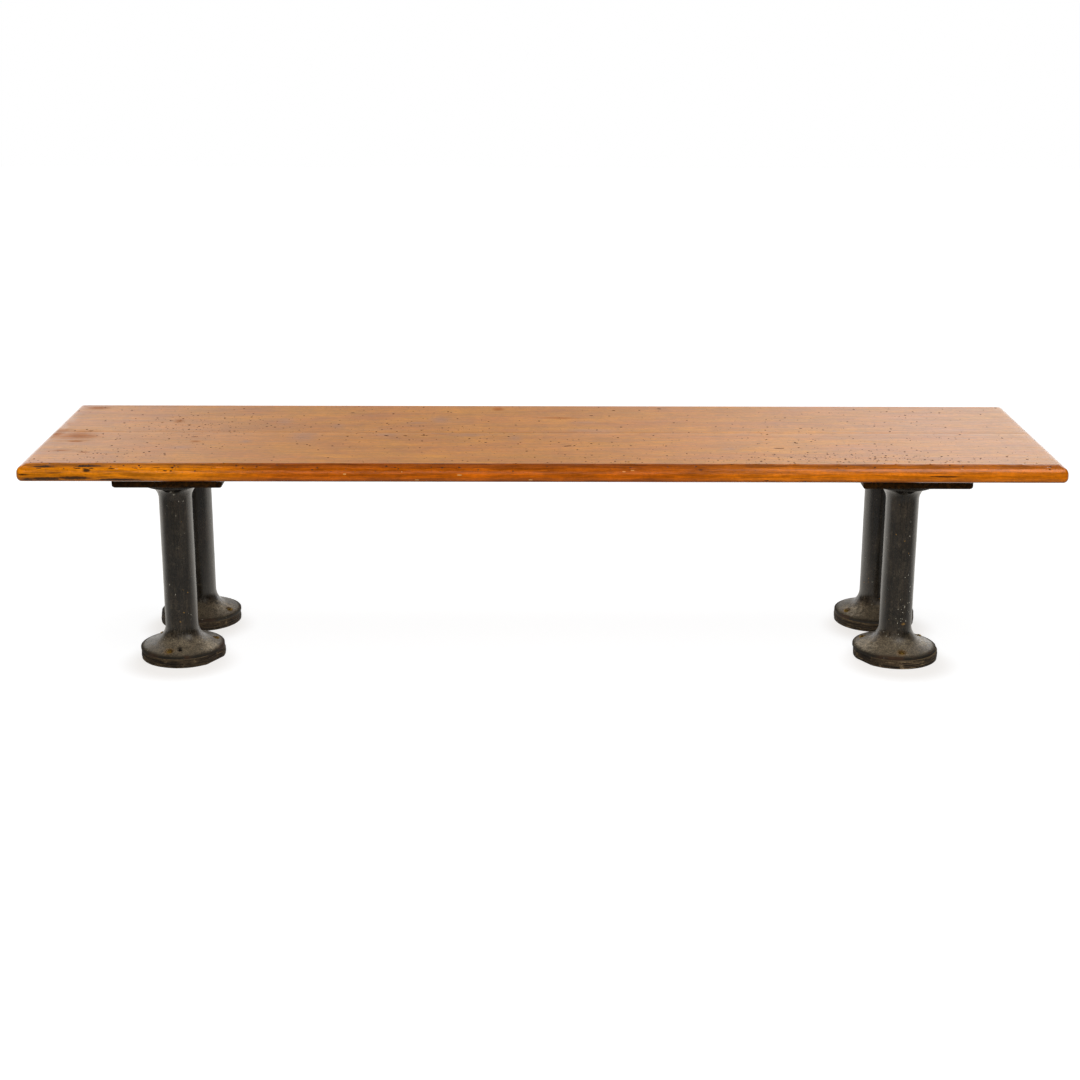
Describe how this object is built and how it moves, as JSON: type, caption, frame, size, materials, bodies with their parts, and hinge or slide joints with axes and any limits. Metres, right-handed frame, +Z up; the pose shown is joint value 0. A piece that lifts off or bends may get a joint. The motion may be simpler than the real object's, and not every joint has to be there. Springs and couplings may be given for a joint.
{
  "type": "bench",
  "caption": "Low bench with a bullnosed timber seat on cast-iron pedestal legs, each with a flared flange at both ends and a round laminated pad on the floor.",
  "frame": {"origin": "on the floor, under the middle of the seat", "axes": "+X along the seat to the right, +Y from front to back, +Z up"},
  "size_m": [1.829, 0.5, 0.4],
  "materials": {
    "seat_wood": "worn satin varnish",
    "cleat_wood": "dark stain",
    "cast_iron": "bare, dusty, with some rust and paint specks",
    "pad_laminate": "dirty, with the edges of its layers bare",
    "foot_screw_plate": "worn yellow plating",
    "top_screw_plate": "worn yellow plating",
    "cleat_screw_steel": "dull"
  },
  "bodies": {
    "root": {"seat_board_front": "seat_wood", "seat_board_back": "seat_wood", "cleat_left": "cleat_wood", "cleat_right": "cleat_wood", "leg_front_left": "cast_iron", "leg_front_right": "cast_iron", "leg_back_left": "cast_iron", "leg_back_right": "cast_iron", "foot_pad_front_left": "pad_laminate", "foot_pad_front_right": "pad_laminate", "foot_pad_back_left": "pad_laminate", "foot_pad_back_right": "pad_laminate", "foot_screws_front_left": "foot_screw_plate", "foot_screws_front_right": "foot_screw_plate", "foot_screws_back_left": "foot_screw_plate", "foot_screws_back_right": "foot_screw_plate", "top_screws_front_left": "top_screw_plate", "top_screws_front_right": "top_screw_plate", "top_screws_back_left": "top_screw_plate", "top_screws_back_right": "top_screw_plate", "cleat_screws_left": "cleat_screw_steel", "cleat_screws_right": "cleat_screw_steel"}
  },
  "joints": []
}
